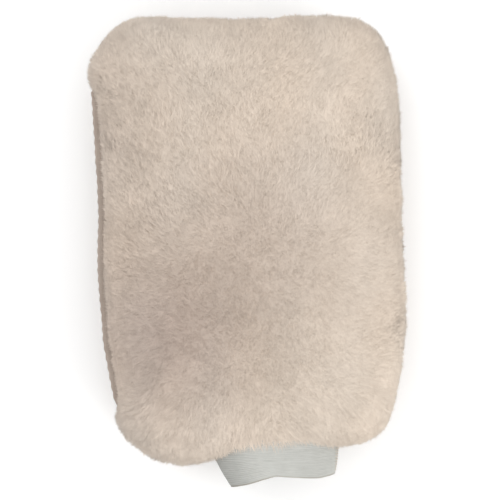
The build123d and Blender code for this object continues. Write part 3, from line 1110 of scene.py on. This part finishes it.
def cuff_row(t, depth):
    """One ring of points round the cuff. t is -1 at the sewn edge, 0 at the hinge and 1 at the mouth."""
    out = max(t, 0.0)
    x = BASE_LOOP[:, 0] + (MOUTH_LINE[:, 0] - BASE_LOOP[:, 0]) * out**1.6
    z = BASE_LOOP[:, 1] + (MOUTH_LINE[:, 1] - BASE_LOOP[:, 1]) * out
    if t > 0:
        y = CUFF_HINGE_Y + (MOUTH_Y - CUFF_HINGE_Y) * t
    else:
        y = np.full(CUFF_STEPS, CUFF_HINGE_Y + (CUFF_HINGE_Y - SEWN_START_Y) * t)
    tangent = np.roll(np.c_[x, z], -1, axis=0) - np.roll(np.c_[x, z], 1, axis=0)
    outward = unit(np.c_[-tangent[:, 1], tangent[:, 0]])
    relief = RIB_RELIEF * math.cos(2 * math.pi * rib_count(t))
    soft = field_noise(np.c_[x, y, z], 26, 51) * 0.45 * out
    push = soft + relief * (1 if depth == 0 else -1) - depth
    fray = smooth(t, 0.97, 1.0) * FRAY * np.sin(2 * math.pi * np.arange(CUFF_STEPS) / FRAY_PITCH)
    return np.c_[x + outward[:, 0] * push, y + fray, MID_Z + z + outward[:, 1] * push]


def rib_count(t):
    """Ribs between the hinge and a ring."""
    if t > 0:
        return t * CUFF_RIBS
    return t * (CUFF_HINGE_Y - SEWN_START_Y) / SEWN_RIB_PITCH


def weave_row(t):
    """Place in the weave, for the material: mm from the left fold, rib count, and 0 at the raw edge."""
    size = np.linalg.norm(np.roll(BASE_LOOP, -1, axis=0) - BASE_LOOP, axis=1).mean()
    border = 1 - smooth(t, 0.955, 0.985)
    steps = np.arange(CUFF_STEPS)
    from_fold = np.minimum(steps, CUFF_STEPS - steps) * size
    return np.c_[from_fold, np.full(CUFF_STEPS, rib_count(t)), np.full(CUFF_STEPS, border)]


def band(name, rows, low, high):
    """A closed strip of webbing between loop indices low and high, or round the whole loop."""
    whole = high - low >= CUFF_STEPS
    columns = np.arange(low, high + (0 if whole else 1)) % CUFF_STEPS
    outer = [cuff_row(t, 0)[columns] for t in rows]
    inner = [cuff_row(t, CUFF_WALL)[columns] for t in rows]
    weave = [weave_row(t)[columns] for t in rows]
    count, wide = len(rows), len(columns)
    points = np.vstack(outer + inner)
    at = np.arange(2 * count * wide).reshape(2, count, wide)
    faces = []
    turns = range(wide) if whole else range(wide - 1)
    for r in range(count - 1):
        for k in turns:
            n = (k + 1) % wide
            faces.append((at[0, r + 1, k], at[0, r + 1, n], at[0, r, n], at[0, r, k]))
            faces.append((at[1, r, n], at[1, r + 1, n], at[1, r + 1, k], at[1, r, k]))
    for k in turns:
        n = (k + 1) % wide
        faces.append((at[0, 0, n], at[1, 0, n], at[1, 0, k], at[0, 0, k]))
        faces.append((at[1, -1, k], at[1, -1, n], at[0, -1, n], at[0, -1, k]))
    if not whole:
        for r in range(count - 1):
            faces.append((at[1, r, 0], at[1, r + 1, 0], at[0, r + 1, 0], at[0, r, 0]))
            faces.append((at[0, r + 1, -1], at[1, r + 1, -1], at[1, r, -1], at[0, r, -1]))
    obj = mesh_object(name, points, faces)
    weave = np.vstack(weave + weave).astype(np.float32)
    obj.data.attributes.new("weave", "FLOAT_VECTOR", "POINT").data.foreach_set("vector", weave.ravel())
    dress(obj, WEBBING)
    return obj


def strands(name, rows, low, high):
    """Rubber threads in the middle of the webbing, one in each rib."""
    points, faces = [], []
    columns = np.arange(low, high + 1) % CUFF_STEPS
    sides = 6
    for t in rows:
        start = len(points) * len(columns)
        centre = cuff_row(t, CUFF_WALL / 2)[columns]
        top = cuff_row(t, 0)[columns]
        up = unit(top - centre)
        for k in range(sides):
            angle = 2 * math.pi * k / sides
            ring = centre + up * (math.cos(angle) * RUBBER_RADIUS)
            ring[:, 1] += math.sin(angle) * RUBBER_RADIUS
            points.append(ring)
        count = len(columns)
        for k in range(sides):
            a, b = start + k * count, start + (k + 1) % sides * count
            faces += [(a + c + 1, b + c + 1, b + c, a + c) for c in range(count - 1)]
        faces.append(tuple(start + k * count for k in range(sides)))
        faces.append(tuple(start + k * count + count - 1 for k in range(sides - 1, -1, -1)))
    obj = mesh_object(name, np.vstack(points), faces)
    dress(obj, RUBBER)
    return obj


def hinge_cuff(obj):
    """Bakes the transform of a piece of the cuff into its mesh."""
    bend_over(obj)


def open_wall(obj):
    """Bakes the transform of a cuff wall piece into its mesh."""
    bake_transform(obj)


def tube(path, radius):
    """Points and faces of a capped tube along a path, thinner at its two ends."""
    sides = 8
    path = np.asarray(path, float)
    way = unit(np.gradient(path, axis=0))
    side = unit(np.cross(way, [0.3, 0.5, 0.8]))
    other = np.cross(way, side)
    taper = np.full(len(path), radius)
    taper[[0, -1]] *= 0.45
    points = []
    for k in range(sides):
        angle = 2 * math.pi * k / sides
        points.append(path + (side * math.cos(angle) + other * math.sin(angle)) * taper[:, None])
    points = np.stack(points, 1).reshape(-1, 3)
    faces = [tuple(range(sides - 1, -1, -1))]
    for r in range(len(path) - 1):
        a, b = r * sides, (r + 1) * sides
        for k in range(sides):
            n = (k + 1) % sides
            faces.append((a + k, a + n, b + n, b + k))
    faces.append(tuple((len(path) - 1) * sides + k for k in range(sides)))
    return points, faces


def stitch_object(name, paths, radius):
    """One piece of thread for each path."""
    points, faces, start = [], [], 0
    for path in paths:
        made, quads = tube(path, radius)
        points.append(made)
        faces += [tuple(start + i for i in face) for face in quads]
        start += len(made)
    obj = mesh_object(name, np.vstack(points), faces)
    dress(obj, THREAD)
    return obj


def join_stitches():
    """A zigzag of thread over the right fold, where the webbing's ends are joined."""
    fold = int(np.argmax(MOUTH_LINE[:, 0]))
    paths = []
    count, reach = 9, 9
    first, along = 0.10, 0.86
    for k in range(count):
        low, high = first + along * k / count, first + along * (k + 0.8) / count
        front = cuff_row(low, 0)[fold - reach]
        back = cuff_row(high, 0)[fold + reach]
        over = cuff_row((low + high) / 2, -0.35)[fold]
        share = np.linspace(0, 1, 9)[:, None]
        path = front * (1 - share) ** 2 + (2 * over - (front + back) / 2) * 2 * share * (1 - share)
        paths.append(path + back * share**2)
    return paths


def attach_stitches():
    """Short stitches on the binding tape, round the inside of the wrist opening."""
    low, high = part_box("cuff_attach_seam")
    y = (low.y + high.y) / 2 / MM
    count, reach = 28, 0.28
    half = (LINING_NECK[0] - 2.3, LINING_NECK[1] - 2.3)
    paths = []
    for k in range(count):
        path = []
        for share in np.linspace(-reach, reach, 7):
            angle = 2 * math.pi * (k + 0.5 + share) / count
            rise = 0.1 * (1 - 0.9 * (share / reach) ** 4)
            path.append((TUNNEL_X + (half[0] - rise) * math.cos(angle), y,
                         MID_Z + (half[1] - rise) * math.sin(angle)))
        paths.append(path)
    return paths


def build_cuff():
    """Sewn ring, front and back walls, their rubber threads, and the stitches."""
    whole, half = CUFF_STEPS, CUFF_STEPS // 2
    sewn_rows = np.r_[np.linspace(-1, -0.02, 60), np.linspace(0.0, WALL_SPLIT, 22)]
    sewn = band("cuff_sewn_ring", sewn_rows, 0, whole)
    hinge_cuff(sewn)
    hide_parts("cuff_sewn_edge")
    rubber = strands("cuff_rubber_ring", -np.arange(1, 10) / 10.0, 0, whole)
    hinge_cuff(rubber)
    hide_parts("cuff_rubber_sewn_edge")
    wall_rows = np.linspace(WALL_SPLIT, 1, 110)
    rib_rows = np.arange(4, CUFF_RIBS) / CUFF_RIBS
    for side, word, low, high in ((1, "front", 0, half), (-1, "back", half, whole)):
        wall = band("cuff_band_" + word, wall_rows, low, high)
        open_wall(wall)
        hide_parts("cuff_" + word + "_wall", "cuff_side_folds")
        rubber = strands("cuff_rubber_band_" + word, rib_rows, low, high)
        open_wall(rubber)
        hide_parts("cuff_rubber_" + word + "_wall", "cuff_rubber_side_folds")
    join = stitch_object("cuff_join_zigzag", join_stitches(), JOIN_THREAD_RADIUS)
    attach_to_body(join, "cuff")
    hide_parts("cuff_join_seam")
    attach = stitch_object("cuff_attach_stitches", attach_stitches(), THREAD_RADIUS)
    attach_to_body(attach, "palm")
    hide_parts("cuff_attach_seam")


def dress_nodes():
    """Materials for the CAD nodes that stay in sight or inside."""
    for name, obj in frame["nodes"].items():
        if name == "opening_binding":
            material = BINDING_TAPE
        elif "seam" in name or "tacks" in name:
            material = THREAD
        else:
            continue
        if not obj.material_slots:
            obj.data.materials.append(material)
        for holder in obj.material_slots:
            holder.link = "OBJECT"
            holder.material = material


build_pile_base(puffed_skin())
build_backing()
build_lining()
build_edge_seam()
build_cuff()
dress_nodes()

# ---------------------------------------------------------------- floor, light, camera


def area_light(name, place, size, power, colour=(1, 1, 1)):
    """A round lamp that faces the origin."""
    data = bpy.data.lights.new(name, "AREA")
    data.shape = "DISK"
    data.size = size
    data.energy = power
    data.color = colour
    obj = bpy.data.objects.new(name, data)
    obj.location = place
    obj.rotation_euler = (-Vector(place)).to_track_quat("-Z", "Y").to_euler()
    bpy.context.scene.collection.objects.link(obj)


def studio():
    """A pale floor, soft light, and a camera square above the mitt."""
    corners = [(x * FLOOR_REACH, y * FLOOR_REACH, 0) for x, y in ((-1, -1), (1, -1), (1, 1), (-1, 1))]
    floor = mesh_object("floor", corners, [(0, 1, 2, 3)], False)
    material, _, shader = new_material("floor")
    shader.inputs["Base Color"].default_value = FLOOR_COLOUR
    shader.inputs["Roughness"].default_value = 0.9
    floor.data.materials.append(material)
    scene = bpy.context.scene
    world = bpy.data.worlds.new("world")
    world.use_nodes = True
    world.node_tree.nodes["Background"].inputs["Color"].default_value = (1, 1, 1, 1)
    world.node_tree.nodes["Background"].inputs["Strength"].default_value = WORLD
    scene.world = world
    area_light("key", KEY_PLACE, KEY_SIZE, KEY, KEY_COLOUR)
    area_light("fill", FILL_PLACE, FILL_SIZE, FILL)
    scene.view_settings.view_transform = "Standard"
    camera_data = bpy.data.cameras.new("camera")
    camera_data.lens = LENS
    camera = bpy.data.objects.new("camera", camera_data)
    scene.collection.objects.link(camera)
    height = VIEW_WIDTH * LENS / camera_data.sensor_width + (MID_Z + CAMERA_PLANE) * MM
    camera.location = (*VIEW_CENTRE, height)
    scene.camera = camera


studio()
